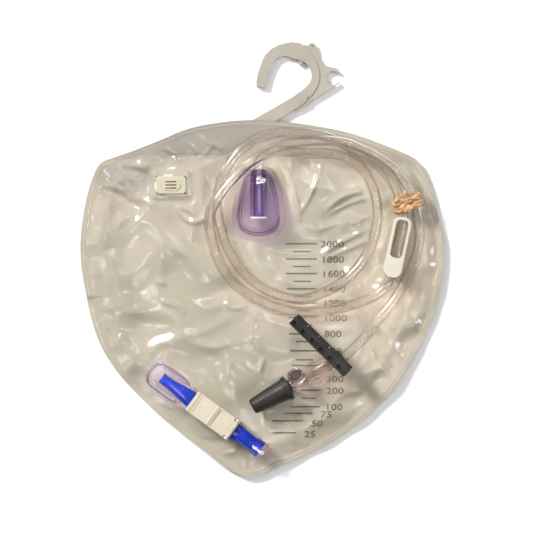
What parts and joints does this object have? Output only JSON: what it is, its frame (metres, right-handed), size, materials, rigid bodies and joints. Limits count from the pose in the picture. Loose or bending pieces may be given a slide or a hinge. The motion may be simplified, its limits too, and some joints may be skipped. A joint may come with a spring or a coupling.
{
  "type": "urine drainage bag",
  "caption": "Flat clear film drainage bag with a rail hook, anti-reflux chamber, coiled inlet tube with capped catheter connector, and a clamped outlet tube in its holder.",
  "frame": {"origin": "the middle of the bag on the back of its rear film, which it lies on", "axes": "+Z out of the printed front face, +Y towards the hanger hook, +X to the right of the face"},
  "size_m": [0.2726, 0.3259, 0.0304],
  "materials": {
    "rear_film": "satin embossed film",
    "clear_film": "clear glossy film",
    "cream_plastic": "satin",
    "clear_tube": "clear glossy soft tube",
    "purple_clear": "tinted clear gloss",
    "filter_white": "matt membrane",
    "flap_white": "satin",
    "tan_rubber": "matt",
    "pinch_white": "satin",
    "black_plastic": "satin",
    "grey_septum": "matt",
    "blue_tube": "glossy soft tube",
    "holder_clear": "tinted clear gloss",
    "pin_steel": "drawn wire"
  },
  "bodies": {
    "root": {"rear_film": "rear_film", "front_film": "clear_film", "hanger_plate": "cream_plastic", "hanger_rivet": "cream_plastic", "vent_housing": "cream_plastic", "vent_filter": "filter_white", "chamber_base": "purple_clear", "chamber_dome": "purple_clear", "inlet_nozzle": "purple_clear", "drainage_tube": "clear_tube", "rubber_band": "tan_rubber", "pinch_clamp": "pinch_white", "connector_body": "purple_clear", "sampling_septum": "grey_septum", "sheet_clip_base": "black_plastic", "jaw_pin": "pin_steel", "drain_tube": "blue_tube", "drain_clamp_body": "cream_plastic", "lever_pin": "pin_steel", "spout_holder": "holder_clear", "outlet_port": "holder_clear"},
    "hanger": {"hook": "cream_plastic"},
    "lever": {"drain_clamp_lever": "cream_plastic"},
    "jaw": {"sheet_clip_jaw": "black_plastic"},
    "cap": {"connector_cap": "black_plastic"},
    "flap": {"reflux_flap": "flap_white"}
  },
  "joints": [
    {"name": "hook_swivel", "type": "hinge", "parent": "root", "child": "hanger", "pos_m": [-0.0135, 0.0942, 0.00255], "axis": [0, 0, 1], "range_deg": [-15, 95]},
    {"name": "clamp_lever", "type": "hinge", "parent": "root", "child": "lever", "pos_m": [-0.0225, -0.12867, 0.0195], "axis": [0.5878, 0.809, 0], "range_deg": [0, 75]},
    {"name": "clip_jaw", "type": "hinge", "parent": "root", "child": "jaw", "pos_m": [0.05875, -0.07614, 0.02585], "axis": [-0.7079, 0.6957, -0.1219], "range_deg": [0, 50]},
    {"name": "cap_slide", "type": "slide", "parent": "root", "child": "cap", "axis": [-0.8788, -0.4772, 0], "range_m": [0, 0.009]},
    {"name": "reflux_flap", "type": "hinge", "parent": "root", "child": "flap", "pos_m": [-0.0026, 0.0298, 0.0216], "axis": [-1, 0, 0], "range_deg": [0, 40]}
  ]
}
